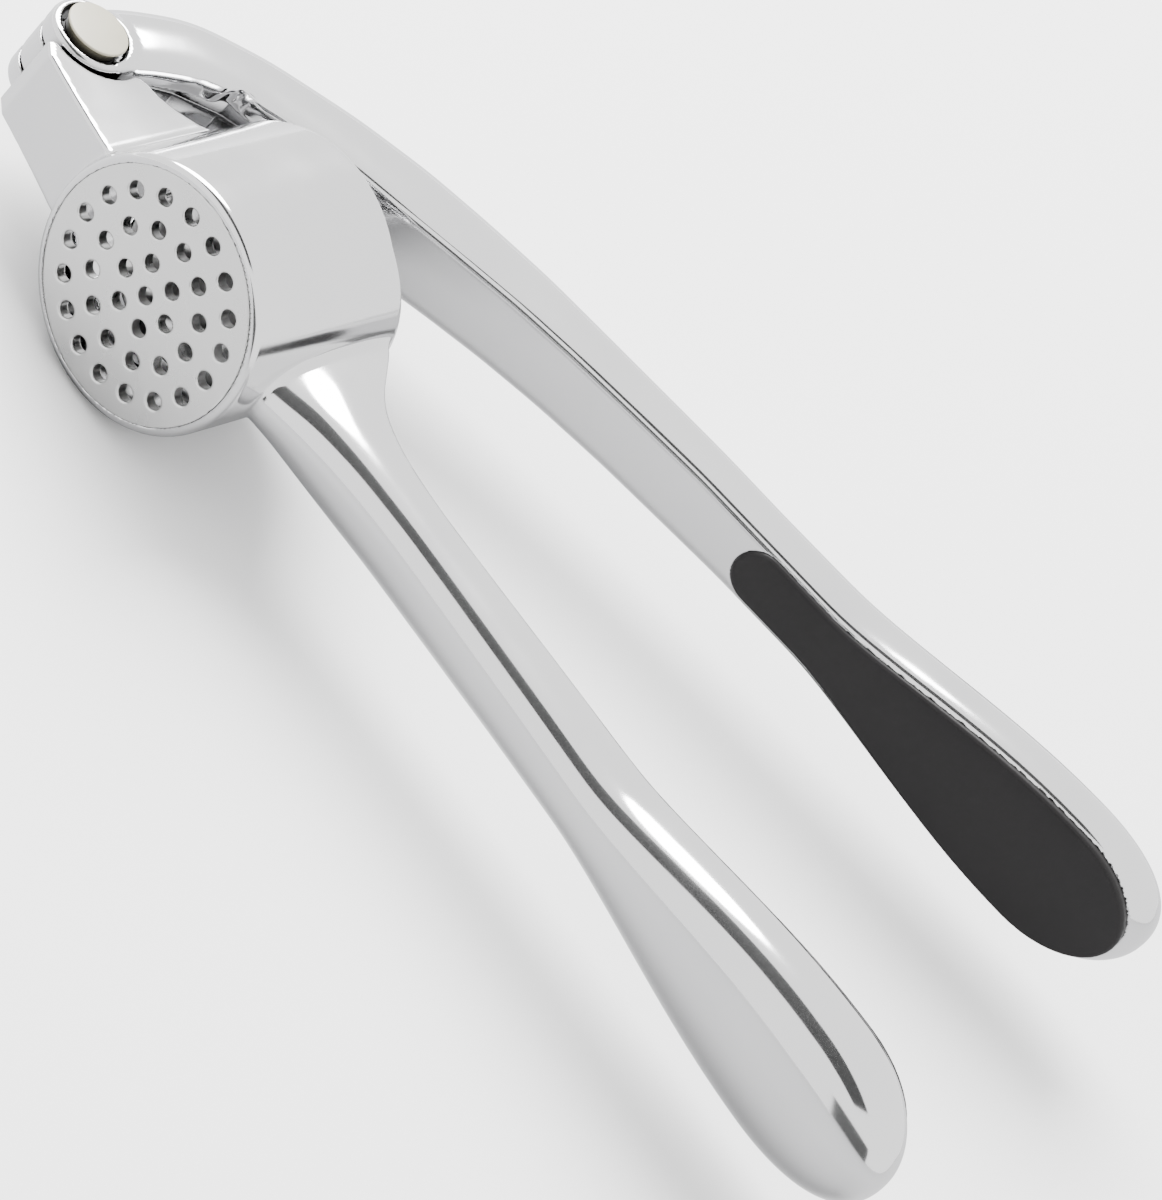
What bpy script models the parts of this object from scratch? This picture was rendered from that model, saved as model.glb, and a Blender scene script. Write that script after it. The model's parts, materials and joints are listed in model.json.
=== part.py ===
"""Garlic press: two cast, chrome-plated levers on one hinge pin, with a hinged plunger.

The press lies on its side. +X runs from the hinge to the handle ends, +Y along the hopper from its
perforated outlet to its open rim, and +Z along the hinge pin. The shapes are worked out in a design
frame whose origin is the middle of the outlet face; the last step stands the press with the middle
of its bounding box over the world origin. Sizes are in metres.
"""
import math

import bmesh
import bpy
from mathutils import Matrix, Vector

MM = 0.001
NAME = "garlic_press"

# ---- driving dimensions ------------------------------------------------------------------------
HOLE_PITCH = 4.5 * MM              # spacing of the outlet holes, ring to ring
HOLE_RADIUS = 1.17 * MM
HOLE_RINGS = 3

HOPPER_RADIUS = 4.05 * HOLE_PITCH
HOPPER_DEPTH = 28.7 * MM
BORE_RADIUS = 15.7 * MM
RIM_ROUND = 0.8 * MM

STRAINER_RADIUS = 16.6 * MM
STRAINER_THICK = 1.9 * MM
GAP = 0.3 * MM                     # clearance between pieces that sit against each other
RUNNING_GAP = 0.1 * MM             # radial clearance of a pin in its hole

PIVOT = Vector((-35.2 * MM, 15.4 * MM, 0.0))
PIN_RADIUS = 2.5 * MM
CHEEK_OUT = 6.1 * MM               # outer face of the lever's cheeks, from the middle plane
CHEEK_IN = 2.8 * MM
LUG_HALF = 6.3 * MM
LUG_TONGUE_HALF = 2.5 * MM         # the lug between the cheeks
EYE_RADIUS = 6.2 * MM
EYE_ROOM = 7.6 * MM                # radius of the lug's side recesses around the cheeks
CAP_RADIUS = 4.6 * MM
CAP_TOP = 7.2 * MM
CAP_SEAT = 5.2 * MM

CLOSE_DEG = 16.0                   # from the rest pose to the handles squeezed together
PLUNGER_TURN = 1.15                # turns of the plunger for each turn of the lever

PLUNGER_RADIUS = 14.2 * MM
PLUNGER_THICK = 2.4 * MM
KNUCKLE_HEIGHT = 6.5 * MM          # plunger pin above the plunger's face
KNUCKLE_RADIUS = 3.4 * MM
TONGUE_HALF = 2.1 * MM
PLUNGER_SHIFT = -0.5 * MM          # off centre when closed, so that its arc stays in the bore
EAR_IN = 2.5 * MM
EAR_OUT = 5.0 * MM
PLUNGER_PIN_RADIUS = 1.5 * MM

SECTION_POWER = 2.5                # roundness of the handle sections
SECTION_CENTRE = 0.37              # widest place, as a part of the depth
SECTION_POINTS = 28

GRIP_LENGTH = 71.9 * MM
GRIP_NARROW = 4.15 * MM            # half width at the hinge end
GRIP_WIDE = 9.15 * MM              # half width at the bulb
GRIP_DEEP = 2.2 * MM
GRIP_PROUD = 0.5 * MM
GRIP_LIP = 1.3 * MM                # metal beside the grip, to the widest place of the section
BULB_FROM = 57.0 * MM              # along the grip, where the bulb is widest
TIP_PAST_GRIP = 2.9 * MM

UPPER_PLANE_DEG = 13.7             # slope of the lever's grip face
UPPER_GRIP_START = Vector((59.5 * MM, 71.1 * MM))
LOWER_PLANE_DEG = 2.5
LOWER_GRIP_START = Vector((68.8 * MM, 19.8 * MM))

CHROME = ((0.80, 0.80, 0.80), 0.12, 1.0)
STEEL = ((0.70, 0.70, 0.69), 0.28, 1.0)
RUBBER = ((0.035, 0.034, 0.038), 0.55, 0.0)
CREAM = ((0.62, 0.60, 0.50), 0.35, 0.0)


# ---- scene -------------------------------------------------------------------------------------
def clear_scene():
    for old in list(bpy.data.objects):
        bpy.data.objects.remove(old, do_unlink=True)


def new_collection(name):
    group = bpy.data.collections.new(name)
    bpy.context.scene.collection.children.link(group)
    return group


def material(name, finish):
    colour, roughness, metallic = finish
    mat = bpy.data.materials.new(name)
    mat.use_nodes = True
    shader = mat.node_tree.nodes["Principled BSDF"]
    shader.inputs["Base Color"].default_value = (*colour, 1.0)
    shader.inputs["Roughness"].default_value = roughness
    shader.inputs["Metallic"].default_value = metallic
    mat.diffuse_color = (*colour, 1.0)
    return mat


def add_object(name, mesh, group):
    obj = bpy.data.objects.new(name, mesh)
    group.objects.link(obj)
    return obj


def mesh_from(bm, name):
    bmesh.ops.recalc_face_normals(bm, faces=bm.faces)
    mesh = bpy.data.meshes.new(name)
    bm.to_mesh(mesh)
    bm.free()
    return mesh


# ---- shape helpers -----------------------------------------------------------------------------
def cylinder(radius, low, high, centre=(0.0, 0.0), axis="Z", segments=64):
    """A cylinder along Z or Y between two heights; centre is the other two coordinates."""
    bm = bmesh.new()
    bmesh.ops.create_cone(bm, cap_ends=True, segments=segments, radius1=radius, radius2=radius,
                          depth=high - low)
    middle = (low + high) / 2
    if axis == "Z":
        place = Matrix.Translation((centre[0], centre[1], middle))
    else:
        place = Matrix.Translation((centre[0], middle, centre[1])) @ Matrix.Rotation(math.pi / 2, 4, "X")
    bmesh.ops.transform(bm, matrix=place, verts=bm.verts)
    return mesh_from(bm, "cylinder")


def plate(outline, low, high):
    """A flat outline in XY, extruded along Z."""
    bm = bmesh.new()
    face = bm.faces.new([bm.verts.new((x, y, low)) for x, y in outline])
    lifted = bmesh.ops.extrude_face_region(bm, geom=[face])["geom"]
    rise = [v for v in lifted if isinstance(v, bmesh.types.BMVert)]
    bmesh.ops.translate(bm, vec=(0.0, 0.0, high - low), verts=rise)
    return mesh_from(bm, "plate")


def arc(centre, radius, start_deg, end_deg, steps):
    points = []
    for i in range(steps + 1):
        angle = math.radians(start_deg + (end_deg - start_deg) * i / steps)
        points.append((centre[0] + radius * math.cos(angle), centre[1] + radius * math.sin(angle)))
    return points


def loft(sections, name):
    """Join rings of equal length into one closed skin with flat ends."""
    bm = bmesh.new()
    rings = [[bm.verts.new(p) for p in ring] for ring in sections]
    count = len(rings[0])
    for low, high in zip(rings[:-1], rings[1:]):
        for i in range(count):
            j = (i + 1) % count
            bm.faces.new((low[i], low[j], high[j], high[i]))
    bm.faces.new(rings[0])
    bm.faces.new(rings[-1])
    return mesh_from(bm, name)


def handle_ring(station):
    """One D section: a flat inner face at depth 0 and a rounded back at the full depth."""
    x, y, slope_deg, half_width, depth, lift = station
    slope = math.radians(slope_deg)
    out = Vector((-math.sin(slope), math.cos(slope), 0.0))
    reach = depth * (1 - SECTION_CENTRE)
    flat_at = math.acos(-min(1.0, (SECTION_CENTRE / (1 - SECTION_CENTRE)) ** (SECTION_POWER / 2)))
    ring = []
    for i in range(SECTION_POINTS):
        angle = -flat_at + 2 * flat_at * i / (SECTION_POINTS - 1)
        cosine, sine = math.cos(angle), math.sin(angle)
        power = 2 / SECTION_POWER
        back = SECTION_CENTRE * depth + reach * math.copysign(abs(cosine) ** power, cosine)
        side = half_width * math.copysign(abs(sine) ** power, sine)
        ring.append(Vector((x, y, side)) + out * (back + lift))
    return ring


def union(obj, mesh, cutters):
    tool = add_object("join", mesh, cutters)
    step = obj.modifiers.new("join", "BOOLEAN")
    step.operation = "UNION"
    step.object = tool
    apply_modifiers(obj)
    bpy.data.objects.remove(tool, do_unlink=True)


def cut(obj, mesh, cutters, place=None):
    tool = add_object("cut", mesh, cutters)
    if place is not None:
        tool.matrix_world = place
    step = obj.modifiers.new("cut", "BOOLEAN")
    step.operation = "DIFFERENCE"
    step.object = tool
    apply_modifiers(obj)
    bpy.data.objects.remove(tool, do_unlink=True)


def apply_modifiers(obj):
    bpy.context.view_layer.update()
    graph = bpy.context.evaluated_depsgraph_get()
    done = bpy.data.meshes.new_from_object(obj.evaluated_get(graph))
    obj.modifiers.clear()
    obj.data = done


def round_edges(obj, width, segments, angle_deg=40.0):
    step = obj.modifiers.new("round", "BEVEL")
    step.width = width
    step.segments = segments
    step.limit_method = "ANGLE"
    step.angle_limit = math.radians(angle_deg)
    apply_modifiers(obj)


def finish_piece(obj, mat, origin=None):
    obj.data.materials.clear()
    obj.data.materials.append(mat)
    obj.data.shade_smooth()
    obj.data.set_sharp_from_angle(angle=math.radians(35))
    if origin is not None:
        obj.data.transform(Matrix.Translation(-Vector(origin)))
        obj.location = Vector(origin)


# ---- the grips' common outline -----------------------------------------------------------------
def grip_half_width(along):
    """Half width of the grip at a distance from its hinge end, without its round ends."""
    swell = (along - 15.0 * MM) / (BULB_FROM - 15.0 * MM)
    swell = max(0.0, min(1.0, swell))
    return GRIP_NARROW + (GRIP_WIDE - GRIP_NARROW) * math.sin(swell * math.pi / 2) ** 1.4


def grip_outline(margin):
    """Outline of a grip in its own plane, grown by margin, as points (along, across)."""
    start = GRIP_NARROW
    end = BULB_FROM + 1.5 * MM
    upper = []
    for along in [start + (end - start) * i / 12 for i in range(13)]:
        upper.append((along, grip_half_width(along) + margin))
    nose = arc((start, 0.0), 1.0, 90, 180, 6)
    nose = [(start + (x - start) * (start + margin), y * (GRIP_NARROW + margin)) for x, y in nose]
    tail = []
    for i in range(1, 9):
        turn = math.pi / 2 * i / 8
        tail.append((end + (GRIP_LENGTH - end + margin) * math.sin(turn),
                     (GRIP_WIDE + margin) * math.cos(turn)))
    half = list(reversed(nose[1:])) + upper + tail
    return half + [(x, -y) for x, y in reversed(half[1:-1])]


def grip_plate(start, slope_deg, below, above, margin, inward):
    """The grip as a plate on a handle's inner face; inward is +1 where the handle lies on +Y."""
    bm = bmesh.new()
    slope = math.radians(slope_deg)
    along_dir = Vector((math.cos(slope), math.sin(slope), 0.0))
    out = Vector((-math.sin(slope), math.cos(slope), 0.0)) * inward
    base = Vector((start[0], start[1], 0.0))
    low, high = [], []
    for along, across in grip_outline(margin):
        point = base + along_dir * along + Vector((0.0, 0.0, across))
        low.append(bm.verts.new(point + out * below))
        high.append(bm.verts.new(point - out * above))
    count = len(low)
    for i in range(count):
        j = (i + 1) % count
        bm.faces.new((low[i], low[j], high[j], high[i]))
    bm.faces.new(low)
    bm.faces.new(high)
    return mesh_from(bm, "grip")


def bulb_stations(start, slope_deg, depths, inward):
    """Sections of a handle along its grip: from the grip's hinge end to the round tip."""
    slope = math.radians(slope_deg)
    tip = GRIP_LENGTH + TIP_PAST_GRIP
    stations = []
    for along in [i * BULB_FROM / 8 for i in range(9)]:
        share = along / BULB_FROM
        depth = depths[0] + (depths[1] - depths[0]) * share
        stations.append([along, grip_half_width(along) + GRIP_LIP, depth, 0.0])
    full_width, full_depth = stations[-1][1], stations[-1][2]
    for turn_deg in (22, 40, 55, 67, 76, 84):
        turn = math.radians(turn_deg)
        along = BULB_FROM + (tip - BULB_FROM) * math.sin(turn)
        shrink = math.cos(turn) ** 0.85
        depth = full_depth * (0.35 + 0.65 * math.cos(turn)) if turn_deg < 84 else full_depth * 0.2
        stations.append([along, full_width * shrink, depth, (full_depth - depth) * 0.75])
    rows = []
    for along, half_width, depth, lift in stations:
        x = start[0] + math.cos(slope) * along
        y = start[1] + math.sin(slope) * along
        if inward < 0:
            rows.append((x, y, slope_deg, half_width, -depth, -lift))
        else:
            rows.append((x, y, slope_deg, half_width, depth, lift))
    return rows


# ---- pieces ------------------------------------------------------------------------------------
def make_hopper_body(parts, cutters, chrome):
    """Hopper, hinge lug and lower handle: one casting."""
    body = add_object("hopper_body", cylinder(HOPPER_RADIUS, 0.0, HOPPER_DEPTH, axis="Y"), parts)
    round_edges(body, RIM_ROUND, 2)

    # The lug: a block beside the hopper that thins to a tongue between the lever's cheeks.
    block = [(-14.0 * MM, 2.3 * MM), (-19.0 * MM, 2.6 * MM), (-33.4 * MM, 5.0 * MM),
             (-35.6 * MM, 6.6 * MM), (-35.2 * MM, 12.0 * MM), (-26.5 * MM, 18.0 * MM),
             (-24.0 * MM, 18.4 * MM), (-21.6 * MM, 19.5 * MM), (-14.0 * MM, 24.5 * MM)]
    lug = add_object("lug", plate(block, -LUG_HALF, LUG_HALF), parts)
    for side in (-1, 1):
        ends = sorted((side * LUG_TONGUE_HALF, side * 2 * LUG_HALF))
        cut(lug, cylinder(EYE_ROOM, *ends, PIVOT[:2], segments=48), cutters)
    tongue = arc(PIVOT, EYE_RADIUS, 262, 50, 14)
    tongue += [(-20.0 * MM, 17.0 * MM), (-20.0 * MM, 4.0 * MM), (-33.2 * MM, 6.0 * MM)]
    union(lug, plate(tongue, -LUG_TONGUE_HALF, LUG_TONGUE_HALF), cutters)
    union(body, lug.data, cutters)
    bpy.data.objects.remove(lug, do_unlink=True)

    # The lower handle: a root that fans out over the hopper's depth, a slim neck, and the grip.
    root = [
        (12.0, 30.8, 26.5, 5.6), (15.5, 31.2, 26.6, 5.6), (17.8, 30.9, 25.8, 5.6),
        (19.6, 29.4, 23.8, 5.6), (21.6, 26.6, 20.4, 5.6), (23.5, 23.8, 17.2, 5.6),
        (25.4, 21.8, 14.9, 5.7), (28.5, 20.1, 12.7, 5.7), (34.0, 18.6, 10.5, 5.6),
        (42.0, 18.3, 9.5, 5.5), (52.0, 18.8, 9.7, 5.5),
    ]
    stations = [(x * MM, y * MM, 0.0, w * MM, -d * MM, 0.0) for x, y, d, w in root]
    stations += bulb_stations(LOWER_GRIP_START, LOWER_PLANE_DEG, (10.3 * MM, 12.4 * MM), -1)
    union(body, loft([handle_ring(s) for s in stations], "lower_handle"), cutters)

    cut(body, cylinder(BORE_RADIUS, -1.0 * MM, HOPPER_DEPTH + 5 * MM, axis="Y"), cutters)
    recess = STRAINER_THICK + GAP
    cut(body, cylinder(STRAINER_RADIUS + GAP, -2.0 * MM, recess, axis="Y"), cutters)
    cut(body, cylinder(PIN_RADIUS + RUNNING_GAP, -LUG_HALF * 2, LUG_HALF * 2, PIVOT[:2], segments=40),
        cutters)
    cut(body, grip_plate(LOWER_GRIP_START, LOWER_PLANE_DEG, GRIP_DEEP + GAP, 8 * MM, GAP, -1), cutters)
    finish_piece(body, chrome)
    return body


def make_strainer(parts, cutters, steel):
    """The perforated disc in the hopper's outlet: rings of 1, 6, 12 and 18 holes."""
    disc = add_object("strainer", cylinder(STRAINER_RADIUS, 0.0, STRAINER_THICK, axis="Y"), parts)
    holes = bmesh.new()
    for ring in range(HOLE_RINGS + 1):
        count = max(1, 6 * ring)
        for i in range(count):
            angle = 2 * math.pi * i / count
            made = bmesh.ops.create_cone(holes, cap_ends=True, segments=12, radius1=HOLE_RADIUS,
                                         radius2=HOLE_RADIUS, depth=STRAINER_THICK * 3)
            place = (Matrix.Translation((ring * HOLE_PITCH * math.cos(angle), 0.0,
                                         ring * HOLE_PITCH * math.sin(angle)))
                     @ Matrix.Rotation(math.pi / 2, 4, "X"))
            bmesh.ops.transform(holes, matrix=place, verts=made["verts"])
    cut(disc, mesh_from(holes, "holes"), cutters)
    finish_piece(disc, steel)
    return disc


def make_lever(parts, cutters, chrome, knuckle):
    """The upper handle: a curved beam from the forked hinge over the hopper to its grip."""
    neck = [
        (-29.1, 15.4, 90, 6.1, 12.2), (-28.9, 18.4, 86, 6.2, 12.3), (-27.9, 21.8, 76, 6.5, 12.9),
        (-25.1, 28.8, 56, 6.9, 13.2), (-19.2, 35.4, 40, 7.0, 12.7), (-8.7, 43.0, 35, 7.0, 13.0),
        (1.0, 47.8, 31, 6.9, 14.1), (9.5, 52.5, 27, 6.5, 13.6), (18.5, 57.1, 23.5, 6.2, 12.7),
        (28.2, 61.2, 20, 5.9, 11.6), (38.6, 64.9, 16, 5.7, 11.0), (49.0, 68.2, 14.5, 5.7, 10.6),
    ]
    stations = [(x * MM, y * MM, a, w * MM, d * MM, 0.0) for x, y, a, w, d in neck]
    stations += bulb_stations(UPPER_GRIP_START, UPPER_PLANE_DEG, (10.4 * MM, 11.6 * MM), 1)
    lever = add_object("lever", loft([handle_ring(s) for s in stations], "lever"), parts)
    union(lever, cylinder(EYE_RADIUS, -CHEEK_OUT, CHEEK_OUT, PIVOT[:2], segments=48), cutters)

    # Between the cheeks there is room for the lug at every angle of the lever.
    slot = arc(PIVOT, 24 * MM, -60, 42, 14)
    slot += [(-13.5 * MM, 38.0 * MM), (-15.0 * MM, 42.0 * MM), (-19.0 * MM, 42.5 * MM),
             (-24.5 * MM, 38.5 * MM), (-29.0 * MM, 33.0 * MM), (-32.5 * MM, 26.0 * MM)]
    slot += arc(PIVOT, EYE_RADIUS + 2 * GAP, 90, 285, 14)
    cut(lever, plate(slot, -CHEEK_IN, CHEEK_IN), cutters)

    # Room for the hopper's rim when the handles are squeezed together.
    turn = (Matrix.Translation(PIVOT) @ Matrix.Rotation(math.radians(CLOSE_DEG), 4, "Z")
            @ Matrix.Translation(-PIVOT))
    cut(lever, cylinder(HOPPER_RADIUS + 2 * GAP, 0.0, HOPPER_DEPTH + 2 * GAP, axis="Y"), cutters, turn)

    # The tongue reaches down into the hopper and carries the plunger.
    tongue = arc(knuckle, KNUCKLE_RADIUS, 180, 360, 12)
    tongue += [(3.0 * MM, 30.0 * MM), (0.5 * MM, 42.0 * MM), (-2.0 * MM, 51.0 * MM),
               (-14.0 * MM, 43.5 * MM), (-6.0 * MM, 36.0 * MM)]
    union(lever, plate(tongue, -TONGUE_HALF, TONGUE_HALF), cutters)

    cut(lever, cylinder(PIN_RADIUS + RUNNING_GAP, -20 * MM, 20 * MM, PIVOT[:2], segments=40), cutters)
    for side in (-1, 1):
        ends = sorted((side * CAP_SEAT, side * 20 * MM))
        cut(lever, cylinder(CAP_RADIUS + GAP, *ends, PIVOT[:2], segments=40), cutters)
    cut(lever, cylinder(PLUNGER_PIN_RADIUS + RUNNING_GAP, -9 * MM, 9 * MM, knuckle[:2], segments=32),
        cutters)
    cut(lever, grip_plate(UPPER_GRIP_START, UPPER_PLANE_DEG, GRIP_DEEP + GAP, 8 * MM, GAP, 1), cutters)
    finish_piece(lever, chrome, PIVOT)
    return lever


def make_grip(name, parts, rubber, start, slope_deg, inward, origin=None):
    grip = add_object(name, grip_plate(start, slope_deg, GRIP_DEEP, GRIP_PROUD, 0.0, inward), parts)
    finish_piece(grip, rubber, origin)
    return grip


def make_hinge(parts, cream, steel):
    """The pin through both cheeks and the lug, with a cap in each cheek's counterbore."""
    shaft_end = CAP_SEAT - GAP
    pin = add_object("hinge_pin", cylinder(PIN_RADIUS, -shaft_end, shaft_end, PIVOT[:2], segments=40), parts)
    finish_piece(pin, steel, PIVOT)
    pieces = [pin]
    for name, side in (("pin_cap_upper", 1), ("pin_cap_lower", -1)):
        ends = sorted((side * (CAP_SEAT + GAP / 3), side * CAP_TOP))
        cap = add_object(name, cylinder(CAP_RADIUS, *ends, PIVOT[:2], segments=40), parts)
        round_edges(cap, 0.25 * MM, 2, 60)
        finish_piece(cap, cream, PIVOT)
        pieces.append(cap)
    return pieces


def make_plunger(parts, cutters, chrome, steel, knuckle, tilt):
    """The presser disc with its two ears, and the pin that hangs it on the lever's tongue."""
    low = -KNUCKLE_HEIGHT
    disc = cylinder(PLUNGER_RADIUS, low, low + PLUNGER_THICK, axis="Y")
    plunger = add_object("plunger", disc, parts)
    round_edges(plunger, 0.6 * MM, 2)
    ear = arc((0.0, 0.0), KNUCKLE_RADIUS, 0, 180, 12)
    ear += [(-5.0 * MM, low + PLUNGER_THICK / 2), (5.0 * MM, low + PLUNGER_THICK / 2)]
    for side in (-1, 1):
        ends = sorted((side * EAR_IN, side * EAR_OUT))
        union(plunger, plate(ear, *ends), cutters)
    cut(plunger, cylinder(PLUNGER_PIN_RADIUS + RUNNING_GAP, -9 * MM, 9 * MM, segments=32), cutters)
    finish_piece(plunger, chrome)
    pin_end = EAR_OUT + GAP
    pin = add_object("plunger_pin", cylinder(PLUNGER_PIN_RADIUS, -pin_end, pin_end, segments=32), parts)
    finish_piece(pin, steel)
    for piece in (plunger, pin):
        piece.location = knuckle
        piece.rotation_euler = (0.0, 0.0, tilt)
    return [plunger, pin]


def stand_on_origin(pieces):
    """Move the press so that the middle of its box's underside is the world origin."""
    bpy.context.view_layer.update()
    corners = [p.matrix_world @ v.co for p in pieces for v in p.data.vertices]
    low = [min(c[i] for c in corners) for i in range(3)]
    high = [max(c[i] for c in corners) for i in range(3)]
    shift = Vector(((low[0] + high[0]) / 2, (low[1] + high[1]) / 2, low[2]))
    for piece in pieces:
        piece.location -= shift
    return shift


def main():
    clear_scene()
    parts = new_collection(NAME)
    cutters = new_collection(NAME + "_cutters")
    chrome = material("chrome", CHROME)
    steel = material("steel", STEEL)
    rubber = material("grip_rubber", RUBBER)
    cream = material("cream_plastic", CREAM)

    # With the press closed the plunger lies flat on the strainer; the rest pose is CLOSE_DEG open.
    closed_knuckle = Vector((PLUNGER_SHIFT, STRAINER_THICK + 2 * GAP + KNUCKLE_HEIGHT, 0.0))
    turn = Matrix.Rotation(math.radians(CLOSE_DEG), 3, "Z")
    knuckle = PIVOT + turn @ (closed_knuckle - PIVOT)
    tilt = math.radians(CLOSE_DEG * PLUNGER_TURN)

    pieces = [
        make_hopper_body(parts, cutters, chrome),
        make_strainer(parts, cutters, steel),
        make_lever(parts, cutters, chrome, knuckle),
        make_grip("lower_grip", parts, rubber, LOWER_GRIP_START, LOWER_PLANE_DEG, -1),
        make_grip("upper_grip", parts, rubber, UPPER_GRIP_START, UPPER_PLANE_DEG, 1, PIVOT),
    ]
    pieces += make_hinge(parts, cream, steel)
    pieces += make_plunger(parts, cutters, chrome, steel, knuckle, tilt)
    shift = stand_on_origin(pieces)
    print("outlet centre", [round(-c, 6) for c in shift])
    print("hinge", [round(c, 6) for c in PIVOT - shift], "knuckle", [round(c, 6) for c in knuckle - shift])


main()
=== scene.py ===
"""Looks for the garlic press: smooth castings, rubber grips, cream pin caps and a bright studio.

Shapes are worked out in millimetres in a design frame whose origin is the middle of the outlet
face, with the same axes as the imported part. Each casting is a signed field, below zero inside, and
its zero surface is meshed with surface nets, so that edges and joints are rounded as cast metal is.
"""

import json
import math

import bmesh
import bpy
import numpy as np
from mathutils import Matrix, Vector


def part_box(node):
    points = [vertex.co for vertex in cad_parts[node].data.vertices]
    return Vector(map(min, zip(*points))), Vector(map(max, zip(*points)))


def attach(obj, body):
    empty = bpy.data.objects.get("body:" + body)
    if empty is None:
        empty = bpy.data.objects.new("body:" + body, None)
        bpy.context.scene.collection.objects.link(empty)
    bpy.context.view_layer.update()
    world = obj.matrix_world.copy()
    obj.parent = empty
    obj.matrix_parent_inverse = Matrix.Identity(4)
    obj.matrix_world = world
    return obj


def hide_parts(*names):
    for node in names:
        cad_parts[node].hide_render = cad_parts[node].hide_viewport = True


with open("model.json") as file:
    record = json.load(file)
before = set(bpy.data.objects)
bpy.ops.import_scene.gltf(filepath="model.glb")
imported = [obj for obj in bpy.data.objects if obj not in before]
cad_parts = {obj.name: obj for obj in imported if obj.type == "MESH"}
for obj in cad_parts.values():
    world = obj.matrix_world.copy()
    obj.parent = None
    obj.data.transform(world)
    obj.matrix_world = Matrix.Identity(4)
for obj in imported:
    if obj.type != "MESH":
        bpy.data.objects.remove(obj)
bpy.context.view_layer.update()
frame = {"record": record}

MM = 0.001
STRAINER_LOW, STRAINER_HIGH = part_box("strainer")
OUTLET = Vector(((STRAINER_LOW.x + STRAINER_HIGH.x) / 2, STRAINER_LOW.y,
                 (STRAINER_LOW.z + STRAINER_HIGH.z) / 2))
JOINTS = {joint["name"]: joint for joint in frame["record"]["behaviour"]["joints"]}


def design(point):
    """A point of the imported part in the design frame, in millimetres."""
    return (Vector(point) - OUTLET) / MM


PIVOT = design(JOINTS["lever_hinge"]["pos_m"])
KNUCKLE = design(JOINTS["plunger_hinge"]["pos_m"])

# ---- sizes in millimetres ----------------------------------------------------------------------
STEP = 0.42          # spacing of the meshing grid on the castings
FINE_STEP = 0.24     # and on the small pieces

HOPPER_RADIUS = (STRAINER_HIGH.x - STRAINER_LOW.x) / MM / 2 + 1.6
HOPPER_DEPTH = 28.7
RIM_LIP_FROM = 9.5                          # x at which the rim starts to rise
RIM_LIP = 3.2                               # and its rise where it meets the lower handle
BARREL_EDGE = 1.1
BORE_RADIUS = 15.7
STRAINER_RADIUS = 16.6
STRAINER_THICK = 1.9
HOLE_PITCH = HOPPER_RADIUS / 4.05
HOLE_RADIUS = 1.17
HOLE_RINGS = 3
GAP = 0.3                                   # between fixed parts
RUNNING_GAP = 0.1                           # round the pins

PIN_RADIUS = 2.5
CHEEK_OUT = 6.1
CHEEK_IN = 2.8
LUG_HALF = 6.2
LUG_END, LUG_RUN = -35.0, 20.0              # the lug widens over this run towards the barrel
LUG_FLARE = 0.8
LUG_BLEND = 1.6
ROOT_BLEND = 1.0
LUG_TONGUE_HALF = 2.5
EYE_RADIUS = 6.2
EYE_ROOM = 7.6
CAP_RADIUS = 4.6
CAP_SEAT = 5.2
CAP_TOP = 7.2
CAP_RIM = 0.6                               # thickness of the cap's rim, which stands off the eye
CAP_STEP = 0.6                              # how far the cap steps in under its rim
CLOSE_DEG = -JOINTS["lever_hinge"]["range_deg"][0]
PLUNGER_TURN = 1.15

PLUNGER_RADIUS = 14.2
PLUNGER_THICK = 2.4
KNUCKLE_HEIGHT = 6.5
KNUCKLE_RADIUS = 3.4
TONGUE_HALF = 2.1
EAR_IN, EAR_OUT = 2.5, 5.0
PLUNGER_PIN_RADIUS = 1.5

SECTION_POWER = 2.5                         # squareness of a handle's section
SECTION_CENTRE = 0.37                       # share of its depth on the inner side of its widest line
FACE_EDGE = 1.2                             # rounding of the edge of a handle's inner face
TIP_POWER = 2.2
TIP_LIFT = 2.0
GRIP_LENGTH = 71.9
GRIP_NARROW, GRIP_WIDE = 4.15, 9.15
GRIP_DEEP, GRIP_PROUD = 2.2, 0.5
GRIP_CROWN, GRIP_CROWN_OVER = 0.35, 3.0     # rise of its face, and over what distance from its rim
GRIP_LIP = 1.3                              # metal left on each side of a grip
BULB_FROM = 57.0
TIP_PAST_GRIP = 2.9
UPPER_GRIP = (59.5, 71.1, 13.7)             # start of the grip face and its slope in degrees
LOWER_GRIP = (68.8, 19.8, 2.5)


# ---- fields ------------------------------------------------------------------------------------
def smooth_min(a, b, blend):
    share = np.clip(0.5 + 0.5 * (b - a) / blend, 0.0, 1.0)
    return b + (a - b) * share - blend * share * (1.0 - share)


def smooth_max(a, b, blend):
    return -smooth_min(-a, -b, blend)


def rounded_both(a, b, radius):
    """Where two fields are both below zero, with an edge of that radius."""
    u, v = a + radius, b + radius
    outside = np.sqrt(np.maximum(u, 0.0) ** 2 + np.maximum(v, 0.0) ** 2)
    return outside + np.minimum(np.maximum(u, v), 0.0) - radius


def polygon_field(u, v, corners):
    """Signed distance to a closed outline in a plane."""
    nearest = np.full(u.shape, 1e9)
    inside = np.zeros(u.shape, bool)
    for (ax, ay), (bx, by) in zip(corners, corners[1:] + corners[:1]):
        ex, ey = bx - ax, by - ay
        px, py = u - ax, v - ay
        along = np.clip((px * ex + py * ey) / (ex * ex + ey * ey), 0.0, 1.0)
        nearest = np.minimum(nearest, (px - ex * along) ** 2 + (py - ey * along) ** 2)
        if by != ay:
            crossing = ((ay > v) != (by > v)) & (u < ex * (v - ay) / (by - ay) + ax)
            inside ^= crossing
    return np.where(inside, -1.0, 1.0) * np.sqrt(nearest)


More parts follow.
